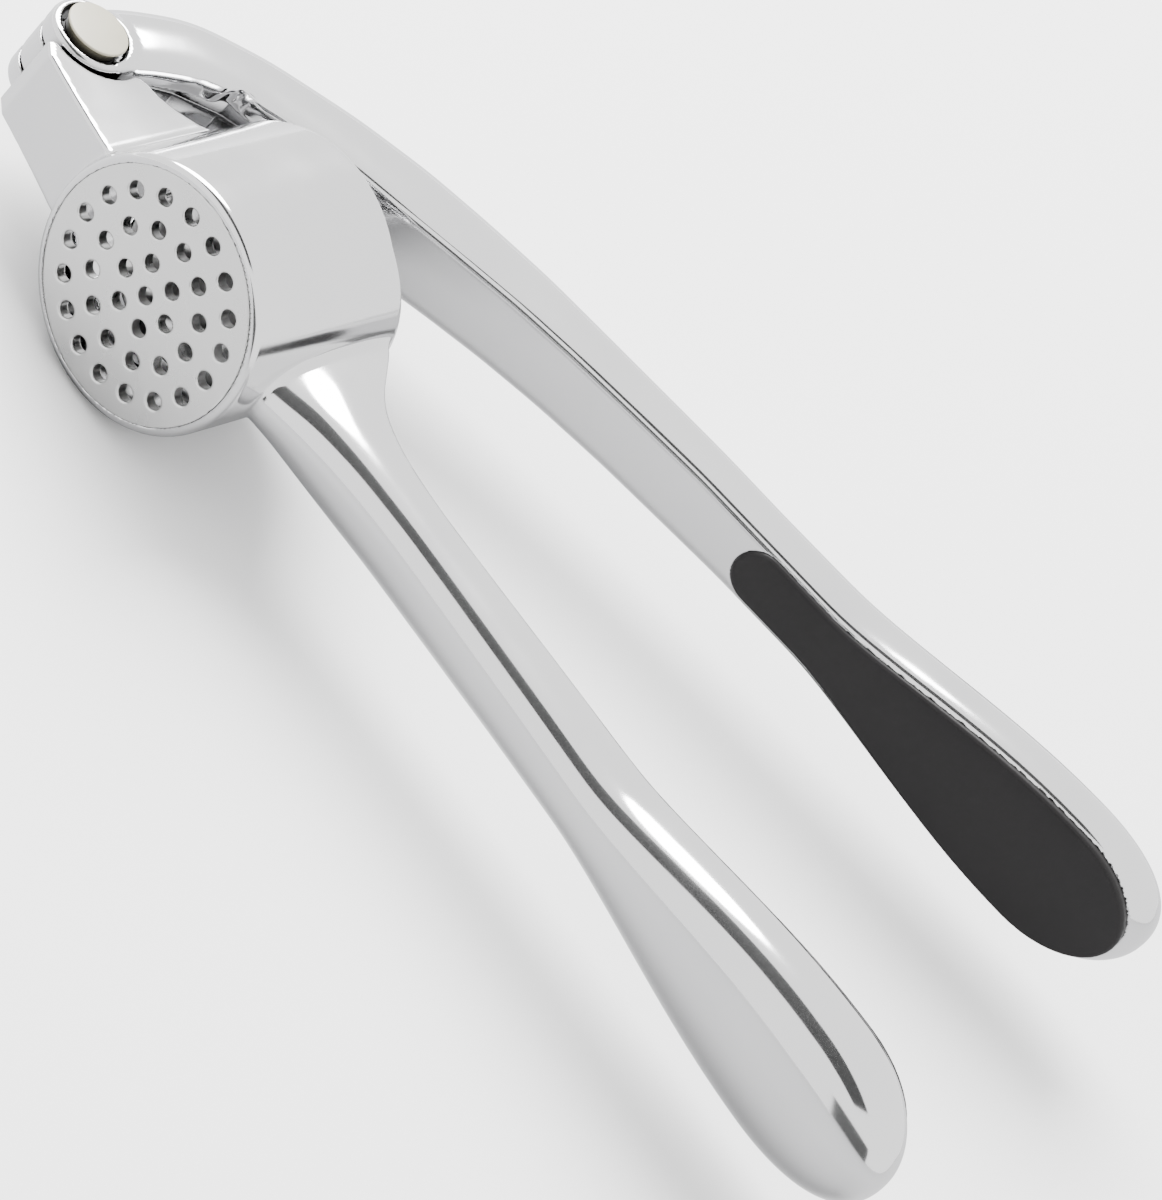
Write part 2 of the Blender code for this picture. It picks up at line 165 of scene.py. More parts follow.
def drum(points, radius, low, high, centre=(0.0, 0.0), axis=2, edge=0.3):
    """A cylinder along Z (axis 2) or Y (axis 1) with rounded edges."""
    other = 1 if axis == 2 else 2
    away = np.hypot(points[:, 0] - centre[0], points[:, other] - centre[1]) - radius
    height = np.abs(points[:, axis] - (low + high) / 2) - (high - low) / 2
    return rounded_both(away, height, edge)


def slab(points, corners, half, edge=0.3):
    """An outline in XY, given thickness along Z on both sides of the middle plane."""
    flat = polygon_field(points[:, 0], points[:, 1], corners)
    return rounded_both(flat, np.abs(points[:, 2]) - half, edge)


def arc(centre, radius, start_deg, end_deg, steps):
    turns = [math.radians(start_deg + (end_deg - start_deg) * i / steps) for i in range(steps + 1)]
    return [(centre[0] + radius * math.cos(t), centre[1] + radius * math.sin(t)) for t in turns]


def grip_half_width(along):
    swell = np.clip((along - 15.0) / (BULB_FROM - 15.0), 0.0, 1.0)
    return GRIP_NARROW + (GRIP_WIDE - GRIP_NARROW) * np.sin(swell * math.pi / 2) ** 1.4


def grip_outline():
    """Outline of a grip in its own plane as points (along, across)."""
    start, end = GRIP_NARROW, BULB_FROM + 1.5
    nose = [(start - start * math.cos(t), GRIP_NARROW * math.sin(t))
            for t in np.linspace(0.0, math.pi / 2, 9)[1:-1]]
    sides = [(x, float(grip_half_width(x))) for x in np.linspace(start, end, 22)]
    tail = [(end + (GRIP_LENGTH - end) * math.sin(t), GRIP_WIDE * math.cos(t))
            for t in np.linspace(0.0, math.pi / 2, 13)[1:-1]]
    half = nose + sides + tail
    return [(0.0, 0.0)] + half + [(GRIP_LENGTH, 0.0)] + [(x, -y) for x, y in reversed(half)]


GRIP_OUTLINE = grip_outline()


def grip_plane(points, grip, side):
    """Distance along a grip face and out of the metal through it; side is +1 for the upper one."""
    x, y, slope_deg = grip
    slope = math.radians(slope_deg)
    px, py = points[:, 0] - x, points[:, 1] - y
    along = px * math.cos(slope) + py * math.sin(slope)
    into = (-px * math.sin(slope) + py * math.cos(slope)) * side
    return along, into


def grip_pocket(points, grip, side):
    along, into = grip_plane(points, grip, side)
    flat = polygon_field(along, points[:, 2], GRIP_OUTLINE) + GAP
    return rounded_both(flat, into - GRIP_DEEP + GAP, 0.2)


class Beam:
    """A cast handle: a D section swept along a plane curve, flat on its inner side.

    Stations are (x, y, slope, half width, depth) at the inner face, out to the grip's start; the
    rest follows the grip. side is +1 where the metal lies on the +Y side of its inner face. The
    sections stand square to the middle of the beam, or to the line rail = (y at x = 0, slope).
    """
    SPACING = 0.5
    SMOOTHING = 2.2

    def __init__(self, stations, grip, depths, side, rail=None):
        x, y, slope_deg = grip
        slope = math.radians(slope_deg)
        rows = [list(row) for row in stations]
        for along in np.linspace(0.0, BULB_FROM + 24.0, 28):
            share = min(along / BULB_FROM, 1.0)
            rows.append([x + math.cos(slope) * along, y + math.sin(slope) * along, slope_deg,
                         float(grip_half_width(along)) + GRIP_LIP,
                         depths[0] + (depths[1] - depths[0]) * share])
        rows = np.array(rows)
        lean = np.radians(rows[:, 2])
        out = np.stack([-np.sin(lean), np.cos(lean)], 1) * side
        inner = rows[:, 4] * SECTION_CENTRE
        if rail:
            inner = (rows[:, 1] - rail[0] - rail[1] * rows[:, 0]) * -side
            out = np.stack([np.zeros(len(rows)), np.full(len(rows), side)], 1)
        middle = rows[:, :2] + out * inner[:, None]
        length = np.concatenate([[0.0], np.cumsum(np.hypot(*np.diff(middle, axis=0).T))])
        even = np.arange(0.0, length[-1], self.SPACING)
        table = np.stack([np.interp(even, length, column)
                          for column in (*middle.T, rows[:, 3], rows[:, 4], inner)])
        self.x, self.y, self.half, self.depth, self.inner = [self.soften(row) for row in table]
        self.even = even
        heading = np.arctan2(np.gradient(self.y), np.gradient(self.x))
        self.tx, self.ty = np.cos(heading), np.sin(heading)
        self.side = side
        bulb = (x + math.cos(slope) * BULB_FROM, y + math.sin(slope) * BULB_FROM)
        self.bulb_at = even[np.argmin(np.hypot(self.x - bulb[0], self.y - bulb[1]))]
        self.tip = GRIP_LENGTH + TIP_PAST_GRIP - BULB_FROM

    def soften(self, row):
        reach = int(3 * self.SMOOTHING / self.SPACING)
        kernel = np.exp(-0.5 * (np.arange(-reach, reach + 1) * self.SPACING / self.SMOOTHING) ** 2)
        kernel /= kernel.sum()
        before = row[0] - (row[1] - row[0]) * np.arange(reach, 0, -1)
        after = row[-1] + (row[-1] - row[-2]) * np.arange(1, reach + 1)
        return np.convolve(np.concatenate([before, row, after]), kernel, "valid")

    def place(self, points):
        """Distance along the beam and out from its widest line, for each point."""
        stride = 6
        cx, cy = self.x[::stride], self.y[::stride]
        nearest = np.argmin((points[:, 0, None] - cx) ** 2 + (points[:, 1, None] - cy) ** 2, axis=1)
        at = self.even[nearest * stride]
        for _ in range(3):
            x, y = np.interp(at, self.even, self.x), np.interp(at, self.even, self.y)
            tx, ty = np.interp(at, self.even, self.tx), np.interp(at, self.even, self.ty)
            dx, dy = points[:, 0] - x, points[:, 1] - y
            at = at + dx * tx + dy * ty
        return at, (-dx * ty + dy * tx) * self.side

    def field(self, points):
        at, out = self.place(points)
        half = np.interp(at, self.even, self.half)
        depth = np.interp(at, self.even, self.depth)
        past = np.maximum(at - self.bulb_at, 0.0) / self.tip
        inward = out + np.interp(at, self.even, self.inner)
        out = inward - depth * SECTION_CENTRE - TIP_LIFT * past ** 2
        back = depth * (1 - SECTION_CENTRE)
        across = np.abs(points[:, 2]) / half
        deep = np.abs(out) / back
        ring = (across ** SECTION_POWER + deep ** SECTION_POWER) ** (1 / SECTION_POWER)
        whole = (ring ** TIP_POWER + past ** TIP_POWER) ** (1 / TIP_POWER)
        body = (whole - 1.0) * np.minimum(half, back)
        body = smooth_max(body, -inward, FACE_EDGE)
        return np.maximum(body, -at)



# ---- meshing -----------------------------------------------------------------------------------
CORNERS = [(i, j, k) for i in (0, 1) for j in (0, 1) for k in (0, 1)]
CHUNK = 60000


def sample(field, points):
    return np.concatenate([field(points[i:i + CHUNK]) for i in range(0, len(points), CHUNK)])


def slope_of(field, points, reach):
    """Gradient from four samples at the corners of a tetrahedron."""
    total = np.zeros_like(points)
    for corner in ((1, -1, -1), (-1, -1, 1), (-1, 1, -1), (1, 1, 1)):
        offset = np.array(corner, float)
        total += sample(field, points + offset * reach)[:, None] * offset
    return total / (4 * reach)


def grid_values(field, low, count, step):
    """The field on a grid, worked out exactly only near its surface."""
    coarse = 4
    blocks = [-(-c // coarse) for c in count]
    starts = [low[i] + step * (coarse * np.arange(blocks[i]) + (coarse - 1) / 2) for i in range(3)]
    centres = np.stack(np.meshgrid(*starts, indexing="ij"), -1).reshape(-1, 3)
    rough = sample(field, centres).reshape(blocks)
    values = rough.repeat(coarse, 0).repeat(coarse, 1).repeat(coarse, 2)
    near = np.abs(values) < 1.7 * coarse * step
    index = np.argwhere(near)
    values[near] = sample(field, low + index * step)
    return values


def surface_net(field, low, high, step):
    """Vertices and quads of the field's zero surface, with normals from its gradient."""
    low = np.array(low, float)
    count = [int(math.ceil((high[i] - low[i]) / step)) + 1 for i in range(3)]
    values = grid_values(field, low, count, step)
    inside = values < 0
    shape = [s - 1 for s in values.shape]

    def corner(array, offset):
        i, j, k = offset
        return array[i:i + shape[0], j:j + shape[1], k:k + shape[2]]

    filled = sum(corner(inside, c).astype(np.int8) for c in CORNERS)
    cells = np.argwhere((filled > 0) & (filled < 8))
    number = np.full(shape, -1, np.int64)
    number[tuple(cells.T)] = np.arange(len(cells))
    total, hits = np.zeros((len(cells), 3)), np.zeros(len(cells))
    for first in CORNERS:
        for axis in range(3):
            if first[axis]:
                continue
            second = tuple(c + (n == axis) for n, c in enumerate(first))
            a = values[tuple((cells + first).T)]
            b = values[tuple((cells + second).T)]
            cross = (a < 0) != (b < 0)
            share = a[cross] / (a[cross] - b[cross])
            at = np.array(first, float) + np.zeros((cross.sum(), 3))
            at[:, axis] += share
            total[cross] += at
            hits[cross] += 1
    points = low + (cells + total / hits[:, None]) * step

    quads = []
    for axis in range(3):
        u, v = [n for n in range(3) if n != axis]
        head = [slice(None)] * 3
        tail = [slice(None)] * 3
        head[axis], tail[axis] = slice(0, -1), slice(1, None)
        for a in (u, v):
            head[a] = tail[a] = slice(1, -1)
        start, end = inside[tuple(head)], inside[tuple(tail)]
        edges = np.argwhere(start != end)
        leaving = start[tuple(edges.T)]
        edges[:, u] += 1
        edges[:, v] += 1
        ring = []
        for du, dv in ((-1, -1), (0, -1), (0, 0), (-1, 0)):
            cell = edges.copy()
            cell[:, u] += du
            cell[:, v] += dv
            ring.append(number[tuple(cell.T)])
        ring = np.stack(ring, 1)
        flip = leaving == (axis == 1)
        ring[flip] = ring[flip][:, ::-1]
        quads.append(ring)
    quads = np.concatenate(quads)

    for _ in range(3):
        slope = slope_of(field, points, step * 0.1)
        value = sample(field, points)
        move = slope * (value / np.maximum((slope ** 2).sum(1), 0.05))[:, None]
        length = np.linalg.norm(move, axis=1, keepdims=True)
        points = points - move * np.minimum(1.0, 0.6 * step / np.maximum(length, 1e-9))
    normals = slope_of(field, points, step * 0.25)
    normals /= np.maximum(np.linalg.norm(normals, axis=1, keepdims=True), 1e-9)
    return points, quads, normals


def cast_piece(name, field, low, high, step, mat, body, replaced, slot):
    """Mesh a field, give it its material, parent it to its body and hide the CAD node it replaces.
    """
    points, quads, normals = surface_net(field, low, high, step)
    mesh = bpy.data.meshes.new(name)
    mesh.vertices.add(len(points))
    mesh.vertices.foreach_set("co", (points * MM + np.array(OUTLET)).ravel())
    mesh.loops.add(quads.size)
    mesh.loops.foreach_set("vertex_index", quads.ravel().astype(np.int32))
    mesh.polygons.add(len(quads))
    mesh.polygons.foreach_set("loop_start", np.arange(0, quads.size, 4, dtype=np.int32))
    mesh.update(calc_edges=True)
    mesh.validate()
    mesh.shade_smooth()
    mesh.normals_split_custom_set_from_vertices(normals.tolist())
    add_piece(name, mesh, mat, body, replaced)


def add_piece(name, mesh, mat, body, replaced):
    mesh.materials.append(mat)
    piece = bpy.data.objects.new(name, mesh)
    bpy.context.scene.collection.objects.link(piece)
    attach(piece, body)
    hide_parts(replaced)


# ---- the castings ------------------------------------------------------------------------------
# The lower handle's root fans out over the barrel's depth; the upper neck leaves the eye upright
# and bends over the hopper.
LOWER_ROOT = [
    (2.0, 29.8, 0, 5.6, 25.5), (12.0, 30.8, 0, 5.6, 26.5), (15.5, 31.2, 0, 5.6, 26.6),
    (17.8, 30.9, 0, 5.6, 25.8), (19.6, 29.4, 0, 5.6, 23.8), (21.6, 26.6, 0, 5.6, 20.4),
    (23.5, 23.8, 0, 5.6, 17.2), (25.4, 21.8, 0, 5.6, 14.9), (28.5, 20.1, 0, 5.6, 12.7),
    (34.0, 18.6, 0, 5.6, 10.5), (42.0, 18.3, 0, 5.5, 9.5), (52.0, 18.8, 0, 5.5, 9.7),
]
UPPER_NECK = [
    (-29.1, 15.4, 90, 6.1, 12.2), (-28.9, 18.4, 86, 6.2, 12.3), (-27.9, 21.8, 76, 6.5, 12.9),
    (-25.1, 28.8, 56, 6.9, 13.2), (-19.2, 35.4, 40, 7.0, 12.7), (-8.7, 43.0, 35, 7.0, 13.0),
    (1.0, 47.8, 31, 6.9, 14.1), (9.5, 52.5, 27, 6.5, 13.6), (18.5, 57.1, 23.5, 6.2, 12.7),
    (28.2, 61.2, 20, 5.9, 11.6), (38.6, 64.9, 16, 5.7, 11.0), (49.0, 68.2, 14.5, 5.7, 10.6),
]
lower_beam = Beam(LOWER_ROOT, LOWER_GRIP, (10.3, 12.4), -1, rail=(13.0, 0.03))
upper_beam = Beam(UPPER_NECK, UPPER_GRIP, (10.4, 11.6), 1)

LUG = [(-14.0, 2.3), (-19.0, 2.6), (-33.4, 5.0), (-35.6, 6.6), (-35.2, 12.0), (-26.5, 18.0),
       (-24.0, 18.4), (-21.6, 19.5), (-14.0, 24.5)]
LUG_TONGUE = arc(PIVOT, EYE_RADIUS, 262, 50, 18) + [(-20.0, 17.0), (-20.0, 4.0), (-33.2, 6.0)]
SLOT = (arc(PIVOT, 24.0, -60, 42, 14)
        + [(-13.5, 38.0), (-15.0, 42.0), (-19.0, 42.5), (-24.5, 38.5), (-29.0, 33.0), (-32.5, 26.0)]
        + arc(PIVOT, EYE_RADIUS + 2 * GAP, 90, 285, 20))
TONGUE = arc(KNUCKLE, KNUCKLE_RADIUS, 180, 360, 14) + [(3.0, 30.0), (0.5, 42.0), (-2.0, 51.0),
                                                      (-14.0, 43.5), (-6.0, 36.0)]


def from_axis(p, centre):
    """Distance from the line along Z through that centre."""
    return np.hypot(p[:, 0] - centre[0], p[:, 1] - centre[1])


def rim_level(p):
    """Points with the rise of the rim beside the lower handle pressed flat."""
    share = np.clip((p[:, 0] - RIM_LIP_FROM) / (HOPPER_RADIUS - RIM_LIP_FROM), 0.0, 1.0)
    rise = RIM_LIP * share ** 1.3
    return np.stack([p[:, 0], p[:, 1] / (1.0 + rise / HOPPER_DEPTH), p[:, 2]], 1)


def hopper_field(p):
    barrel = drum(rim_level(p), HOPPER_RADIUS, 0.0, HOPPER_DEPTH, axis=1, edge=BARREL_EDGE)
    flare = LUG_FLARE * np.clip((p[:, 0] - LUG_END) / LUG_RUN, 0.0, 1.0) ** 2
    outline = polygon_field(p[:, 0], p[:, 1], LUG)
    block = rounded_both(outline, np.abs(p[:, 2]) - LUG_HALF - flare, 0.7)
    eye_room = drum(p, EYE_ROOM, -20.0, 20.0, PIVOT[:2])
    middle = np.abs(p[:, 2]) - LUG_TONGUE_HALF
    block = smooth_max(block, -smooth_max(eye_room, -middle, 0.3), 0.6)
    lug = smooth_min(block, slab(p, LUG_TONGUE, LUG_TONGUE_HALF, 0.5), 0.5)
    body = smooth_min(barrel, lug, LUG_BLEND)
    body = smooth_min(body, lower_beam.field(p), ROOT_BLEND)
    bore = drum(p, BORE_RADIUS, -5.0, HOPPER_DEPTH + 20.0, axis=1)
    seat = drum(p, STRAINER_RADIUS + GAP, -5.0, STRAINER_THICK + GAP, axis=1, edge=0.2)
    pin = from_axis(p, PIVOT) - PIN_RADIUS - RUNNING_GAP
    pocket = grip_pocket(p, LOWER_GRIP, -1)
    for hollow, edge in ((bore, 0.8), (seat, 0.12), (pin, 0.3), (pocket, 0.5)):
        body = smooth_max(body, -hollow, edge)
    return body


def turned_about_pivot(p, degrees):
    """Where points of the lever go when it turns that far."""
    turn = math.radians(degrees)
    x, y = p[:, 0] - PIVOT[0], p[:, 1] - PIVOT[1]
    return np.stack([PIVOT[0] + x * math.cos(turn) - y * math.sin(turn),
                     PIVOT[1] + x * math.sin(turn) + y * math.cos(turn), p[:, 2]], 1)


def lever_field(p):
    eye = drum(p, EYE_RADIUS, -CHEEK_OUT, CHEEK_OUT, PIVOT[:2], edge=1.1)
    body = smooth_min(upper_beam.field(p), eye, 1.2)
    body = smooth_max(body, -slab(p, SLOT, CHEEK_IN, 0.3), 0.5)
    closed = turned_about_pivot(p, -CLOSE_DEG)
    rim = drum(rim_level(closed), HOPPER_RADIUS + 3 * GAP, 0.0, HOPPER_DEPTH + 2 * GAP, axis=1,
               edge=1.5)
    body = smooth_max(body, -rim, 1.2)
    body = smooth_min(body, slab(p, TONGUE, TONGUE_HALF, 0.4), 0.8)
    pin = from_axis(p, PIVOT) - PIN_RADIUS - RUNNING_GAP
    recess = from_axis(p, PIVOT) - CAP_RADIUS - GAP
    seats = smooth_max(recess, CAP_SEAT - np.abs(p[:, 2]), 0.2)
    small_pin = from_axis(p, KNUCKLE) - PLUNGER_PIN_RADIUS - RUNNING_GAP
    for hollow in (pin, seats, small_pin, grip_pocket(p, UPPER_GRIP, 1)):
        body = smooth_max(body, -hollow, 0.45)
    return body


def plunger_field(p):
    tilt = math.radians(CLOSE_DEG * PLUNGER_TURN)
    x, y = p[:, 0] - KNUCKLE[0], p[:, 1] - KNUCKLE[1]
    local = np.stack([x * math.cos(tilt) + y * math.sin(tilt),
                      -x * math.sin(tilt) + y * math.cos(tilt), p[:, 2]], 1)
    low = -KNUCKLE_HEIGHT
    disc = drum(local, PLUNGER_RADIUS, low, low + PLUNGER_THICK, axis=1, edge=0.6)
    ear = arc((0.0, 0.0), KNUCKLE_RADIUS, 0, 180, 14) + [(-5.0, low + 1.2), (5.0, low + 1.2)]
    middle = (EAR_IN + EAR_OUT) / 2
    outline = polygon_field(local[:, 0], local[:, 1], ear)
    ears = rounded_both(outline, np.abs(np.abs(local[:, 2]) - middle) - (EAR_OUT - EAR_IN) / 2, 0.4)
    body = smooth_min(disc, ears, 0.9)
    pin = np.hypot(local[:, 0], local[:, 1]) - PLUNGER_PIN_RADIUS - RUNNING_GAP
    return smooth_max(body, -pin, 0.3)


def strainer_field(p):
    disc = drum(p, STRAINER_RADIUS + 1.1 * GAP, 0.0, STRAINER_THICK, axis=1, edge=0.06)
    holes = np.full(len(p), 1e3)
    for ring in range(HOLE_RINGS + 1):
        count = max(1, 6 * ring)
        for i in range(count):
            turn = 2 * math.pi * i / count
            holes = np.minimum(holes, np.hypot(p[:, 0] - ring * HOLE_PITCH * math.cos(turn),
                                               p[:, 2] - ring * HOLE_PITCH * math.sin(turn)))
    return smooth_max(disc, HOLE_RADIUS - holes, 0.35)


def grip_field(grip, side):
    def field(p):
        along, into = grip_plane(p, grip, side)
        flat = polygon_field(along, p[:, 2], GRIP_OUTLINE)
        top = GRIP_PROUD + GRIP_CROWN * (1.0 - np.exp(np.minimum(flat, 0.0) / GRIP_CROWN_OVER))
        height = np.abs(into - (GRIP_DEEP - top) / 2) - (GRIP_DEEP + top) / 2
        return rounded_both(flat, height, 0.55)
    return field


# ---- materials ---------------------------------------------------------------------------------
PAINTED_SHADE_KEEP = 0.06                         # share of its colour a surface keeps where shade is painted into a tight corner


def finish_material(name, dark, light, rough, metallic=0.0, blotch=60.0, grain=900.0,
                    wave_mm=0.0, grain_mm=0.0, painted_shade_mm=0.0, **sockets):
    """A Principled material whose colour, roughness and bump vary through 3-D noise.

    dark and light are the colour's range and rough the roughness range. blotch and grain are the
    noises' frequencies per metre; wave_mm and grain_mm are the heights of their bumps. Shade is
    painted into the colour: ambient occlusion darkens it in hollows narrower than the shade width
    given in millimetres.
    """
    mat = bpy.data.materials.new(name)
    mat.use_nodes = True
    nodes, links = mat.node_tree.nodes, mat.node_tree.links
    shader = nodes["Principled BSDF"]
    shader.inputs["Metallic"].default_value = metallic
    for socket, value in sockets.items():
        shader.inputs[socket.replace("_", " ")].default_value = value
    place = nodes.new("ShaderNodeTexCoord")

    def noise(frequency, detail):
        node = nodes.new("ShaderNodeTexNoise")
        node.inputs["Scale"].default_value = frequency
        node.inputs["Detail"].default_value = detail
        links.new(place.outputs["Object"], node.inputs["Vector"])
        return node.outputs["Fac"]

    slow, fast = noise(blotch, 3.0), noise(grain, 2.0)
    colour = nodes.new("ShaderNodeMix")
    colour.data_type = "RGBA"
    colour.inputs[6].default_value = (*dark, 1.0)
    colour.inputs[7].default_value = (*light, 1.0)
    links.new(slow, colour.inputs["Factor"])
    links.new(colour.outputs[2], shader.inputs["Base Color"])
    # Painted shade: ambient occlusion darkens the base colour in corners and hollows.
    if painted_shade_mm:
        hollow = nodes.new("ShaderNodeAmbientOcclusion")
        hollow.samples = 8
        hollow.inputs["Distance"].default_value = painted_shade_mm * MM
        open_share = nodes.new("ShaderNodeMapRange")
        open_share.inputs["From Min"].default_value = 0.45
        open_share.inputs["From Max"].default_value = 0.85
        open_share.inputs["To Min"].default_value = PAINTED_SHADE_KEEP
        links.new(hollow.outputs["AO"], open_share.inputs["Value"])
        painted_shade_colour = nodes.new("ShaderNodeMix")
        painted_shade_colour.data_type = "RGBA"
        painted_shade_colour.inputs[6].default_value = (0.0, 0.0, 0.0, 1.0)
        links.new(colour.outputs[2], painted_shade_colour.inputs[7])
        links.new(open_share.outputs["Result"], painted_shade_colour.inputs["Factor"])
        links.new(painted_shade_colour.outputs[2], shader.inputs["Base Color"])
    spread = nodes.new("ShaderNodeMapRange")
    spread.inputs["From Min"].default_value = 0.3
    spread.inputs["From Max"].default_value = 0.7
    spread.inputs["To Min"].default_value, spread.inputs["To Max"].default_value = rough
    links.new(slow, spread.inputs["Value"])
    links.new(spread.outputs["Result"], shader.inputs["Roughness"])
    normal = None
    for height, source in ((wave_mm, slow), (grain_mm, fast)):
        if height:
            bump = nodes.new("ShaderNodeBump")
            bump.inputs["Distance"].default_value = height * MM
            links.new(source, bump.inputs["Height"])
            if normal:
                links.new(normal, bump.inputs["Normal"])
            normal = bump.outputs["Normal"]
    if normal:
        links.new(normal, shader.inputs["Normal"])
    return mat


# The chrome gets painted shade in hollows narrower than 3 mm, such as the arch and the root's joint
# with the barrel.
chrome = finish_material("chrome_cast", (0.72, 0.72, 0.73), (0.78, 0.78, 0.78), (0.07, 0.13),
                         metallic=1.0, blotch=70.0, grain=1500.0, wave_mm=0.03, grain_mm=0.0002,
                         painted_shade_mm=3.0)
satin_steel = finish_material("satin_steel", (0.70, 0.70, 0.69), (0.78, 0.78, 0.77), (0.24, 0.34),
                              metallic=1.0, blotch=160.0, grain=4000.0, grain_mm=0.002)
pin_steel = finish_material("turned_steel", (0.62, 0.62, 0.62), (0.70, 0.70, 0.69), (0.22, 0.32),
                            metallic=1.0, blotch=300.0, grain=5000.0, grain_mm=0.002)
# The cream caps get painted shade in hollows narrower than 1.5 mm, which darkens the band under
# their rims.
cream = finish_material("cream_plastic", (0.32, 0.30, 0.225), (0.38, 0.355, 0.27), (0.30, 0.40),
                        blotch=250.0, grain=5000.0, grain_mm=0.002, painted_shade_mm=1.5)
rubber = finish_material("soft_grip", (0.008, 0.0075, 0.0078), (0.012, 0.011, 0.0115), (0.40, 0.50),
                         blotch=120.0, grain=6000.0, grain_mm=0.006, Specular_IOR_Level=0.25)
paper = finish_material("studio_floor", (0.86, 0.86, 0.86), (0.88, 0.88, 0.88), (0.7, 0.8),
                        blotch=4.0)

# ---- pieces ------------------------------------------------------------------------------------
MARGIN = 1.5


def room(node):
    """The CAD node's box in the design frame, grown by the meshing margin."""
    low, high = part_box(node)
    grow = Vector((MARGIN, MARGIN, MARGIN))
    return design(low) - grow, design(high) + grow


for node, field, step, mat, body, slot in (
        ("hopper_body", hopper_field, STEP, chrome, "body", "chrome_plate"),
        ("lever", lever_field, STEP, chrome, "lever_body", "chrome_plate"),
        ("plunger", plunger_field, STEP * 0.8, chrome, "plunger_body", "chrome_plate"),
        ("strainer", strainer_field, FINE_STEP, satin_steel, "body", "strainer_steel"),
        ("lower_grip", grip_field(LOWER_GRIP, -1), STEP * 0.8, rubber, "body", "grip_rubber"),
        ("upper_grip", grip_field(UPPER_GRIP, 1), STEP * 0.8, rubber, "lever_body", "grip_rubber")):
    cast_piece(node + "_look", field, *room(node), step, mat, body, node, slot)


TURN_SEGMENTS = 96
ROUND_STEPS = 6


def turned_mesh(name, profile):
    """A profile of (radius, height) in millimetres spun about Z."""
    bm = bmesh.new()
    points = [bm.verts.new((r * MM, 0.0, z * MM)) for r, z in profile]
    edges = [bm.edges.new(pair) for pair in zip(points, points[1:])]
    bmesh.ops.spin(bm, geom=points + edges, axis=(0, 0, 1), cent=(0, 0, 0), steps=TURN_SEGMENTS,
                   angle=2 * math.pi, use_merge=False)
    bmesh.ops.remove_doubles(bm, verts=bm.verts, dist=1e-7)
    bmesh.ops.recalc_face_normals(bm, faces=bm.faces)
    mesh = bpy.data.meshes.new(name)
    bm.to_mesh(mesh)
    bm.free()
    mesh.shade_smooth()
    mesh.set_sharp_from_angle(angle=math.radians(50))
    return mesh


def rounded_rod(radius, low, high, edge, crown=0.0):
    """Profile of a rod with rounded rims and a slightly domed upper end."""
    turns = [math.pi / 2 * i / ROUND_STEPS for i in range(ROUND_STEPS + 1)]
    top = [(radius - edge + edge * math.cos(t), high - crown - edge + edge * math.sin(t))
           for t in turns]
    inner = radius - edge
    dome = [(inner * s, high - crown * s * s) for s in (0.8, 0.6, 0.4, 0.2)] + [(0.0, high)]
    bottom = [(radius - edge + edge * math.cos(t), low + edge - edge * math.sin(t)) for t in turns]
    return [(0.0, low)] + bottom[::-1] + top + dome


cap_low, cap_rim = CAP_SEAT + GAP / 3, CAP_TOP - CAP_RIM
cap_profile = [(0.0, cap_low), (CAP_RADIUS - CAP_STEP, cap_low), (CAP_RADIUS - CAP_STEP, cap_rim)]
cap_profile += rounded_rod(CAP_RADIUS - 0.5 * GAP, cap_rim, CAP_TOP, 0.22, 0.15)[1:]
for node, side in (("pin_cap_upper", 1), ("pin_cap_lower", -1)):
    mesh = turned_mesh(node + "_look", cap_profile)
    turn = Matrix.Rotation(0.0 if side > 0 else math.pi, 4, "X")
    mesh.transform(Matrix.Translation(OUTLET + PIVOT * MM) @ turn)
    add_piece(node + "_look", mesh, cream, "lever_body", node)

pin_end = EAR_OUT + GAP
mesh = turned_mesh("plunger_pin_look", rounded_rod(PLUNGER_PIN_RADIUS, -pin_end, pin_end, 0.3))
mesh.transform(Matrix.Translation(OUTLET + KNUCKLE * MM))
add_piece("plunger_pin_look", mesh, pin_steel, "plunger_body", "plunger_pin")
shaft_end = CAP_SEAT - GAP
mesh = turned_mesh("hinge_pin_look", rounded_rod(PIN_RADIUS, -shaft_end, shaft_end, 0.2))
mesh.transform(Matrix.Translation(OUTLET + PIVOT * MM))
add_piece("hinge_pin_look", mesh, pin_steel, "lever_body", "hinge_pin")

# ---- studio, in metres -------------------------------------------------------------------------
VIEW_RIGHT = Vector((0.5685, 0.5876, 0.576)).normalized()
VIEW_BACK = Vector((0.2168, -0.7822, 0.584))
VIEW_BACK = (VIEW_BACK - VIEW_RIGHT * VIEW_BACK.dot(VIEW_RIGHT)).normalized()
VIEW_UP = VIEW_BACK.cross(VIEW_RIGHT)
CAMERA_FROM_OUTLET = Vector((0.2250, -0.5656, 0.4502))
FLOOR_REACH = 3.0
FLOOR_DROP = 0.0005


def staged_panel(name, low, high, mat):
    """A flat rectangle in the XY plane, as part of the studio."""
    (x0, y0), (x1, y1) = low, high
    mesh = bpy.data.meshes.new(name)
    mesh.from_pydata([(x0, y0, 0), (x1, y0, 0), (x1, y1, 0), (x0, y1, 0)], [], [(0, 1, 2, 3)])
    mesh.materials.append(mat)
    panel = bpy.data.objects.new(name, mesh)
    bpy.context.scene.collection.objects.link(panel)
    return panel


def facing(toward, distance):
    """The place at a distance in a direction from the press, turned to look back at it."""
    toward = Vector(toward).normalized()
    turn = toward.to_track_quat("Z", "Y").to_matrix().to_4x4()
    return Matrix.Translation(toward * distance) @ turn


def only_mirrors(panel):
    """Keep a panel out of the picture except where polished metal reflects it."""
    panel.visible_camera = panel.visible_shadow = panel.visible_diffuse = False


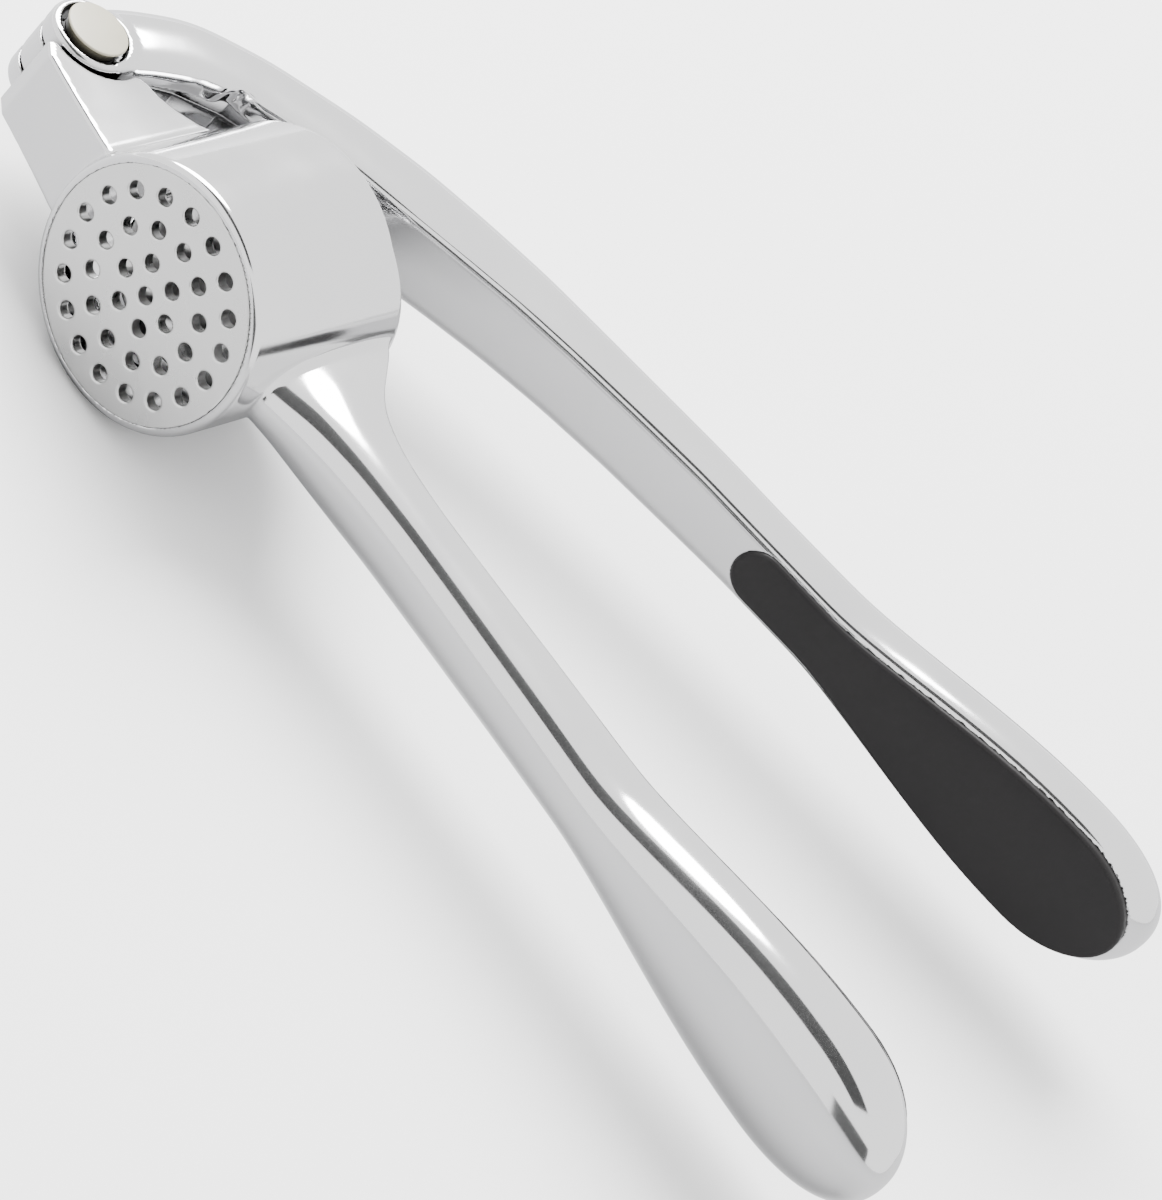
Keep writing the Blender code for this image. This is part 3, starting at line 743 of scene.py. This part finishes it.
def card(name, toward, distance, width, height, mat):
    """A panel that faces the press from a direction."""
    panel = staged_panel(name, (-width / 2, -height / 2), (width / 2, height / 2), mat)
    panel.matrix_world = facing(toward, distance)
    only_mirrors(panel)


def floor_card(name, low, high, mat, lift_mm):
    """A patch just above the floor."""
    panel = staged_panel(name, low, high, mat)
    panel.location.z = lift_mm * MM - FLOOR_DROP
    only_mirrors(panel)


floor = staged_panel("floor", (-FLOOR_REACH, -FLOOR_REACH), (FLOOR_REACH, FLOOR_REACH), paper)
floor.location.z = -FLOOR_DROP

world = bpy.data.worlds.new("studio")
world.use_nodes = True
world.node_tree.nodes["Background"].inputs["Color"].default_value = (1.0, 1.0, 1.0, 1.0)
world.node_tree.nodes["Background"].inputs["Strength"].default_value = 2.1
bpy.context.scene.world = world


key_data = bpy.data.lights.new("key", "AREA")
key_data.shape = "DISK"
key_data.size = 1.1
key_data.energy = 75.0
key = bpy.data.objects.new("key", key_data)
key.matrix_world = facing((-0.9, 0.5, 1.0), 1.3)
bpy.context.scene.collection.objects.link(key)

# An overhead strip draws the dark line along the lower handle, a low card on the right the one
# along the edge of the upper handle's inner face, and a strip on the floor the one at the foot of
# the barrel. The grey table keeps the undersides of the metal darker than its tops.
shade = finish_material("dark_card", (0.02, 0.02, 0.02), (0.03, 0.03, 0.03), (0.8, 0.9), blotch=4.0)
table = finish_material("grey_table", (0.33, 0.33, 0.335), (0.36, 0.36, 0.365), (0.7, 0.8),
                        blotch=4.0)
card("overhead_strip", (-0.15, -0.36, 1.0), 1.2, 1.6, 0.62, shade)
card("low_card", (0.55, -0.93, 0.08), 0.9, 0.60, 0.52, shade)
floor_card("table", (-0.8, -0.8), (0.8, 0.8), table, 0.1)
floor_card("barrel_strip", (0.010, 0.026), (0.045, 0.15), shade, 0.2)

camera_data = bpy.data.cameras.new("camera")
camera_data.lens = 180.0
camera_data.sensor_width = 36.0
camera_data.clip_start = 0.01
camera = bpy.data.objects.new("camera", camera_data)
axes = Matrix((VIEW_RIGHT, VIEW_UP, VIEW_BACK)).transposed().to_4x4()
camera.matrix_world = Matrix.Translation(OUTLET + CAMERA_FROM_OUTLET) @ axes
bpy.context.scene.collection.objects.link(camera)
bpy.context.scene.camera = camera

bpy.context.view_layer.update()
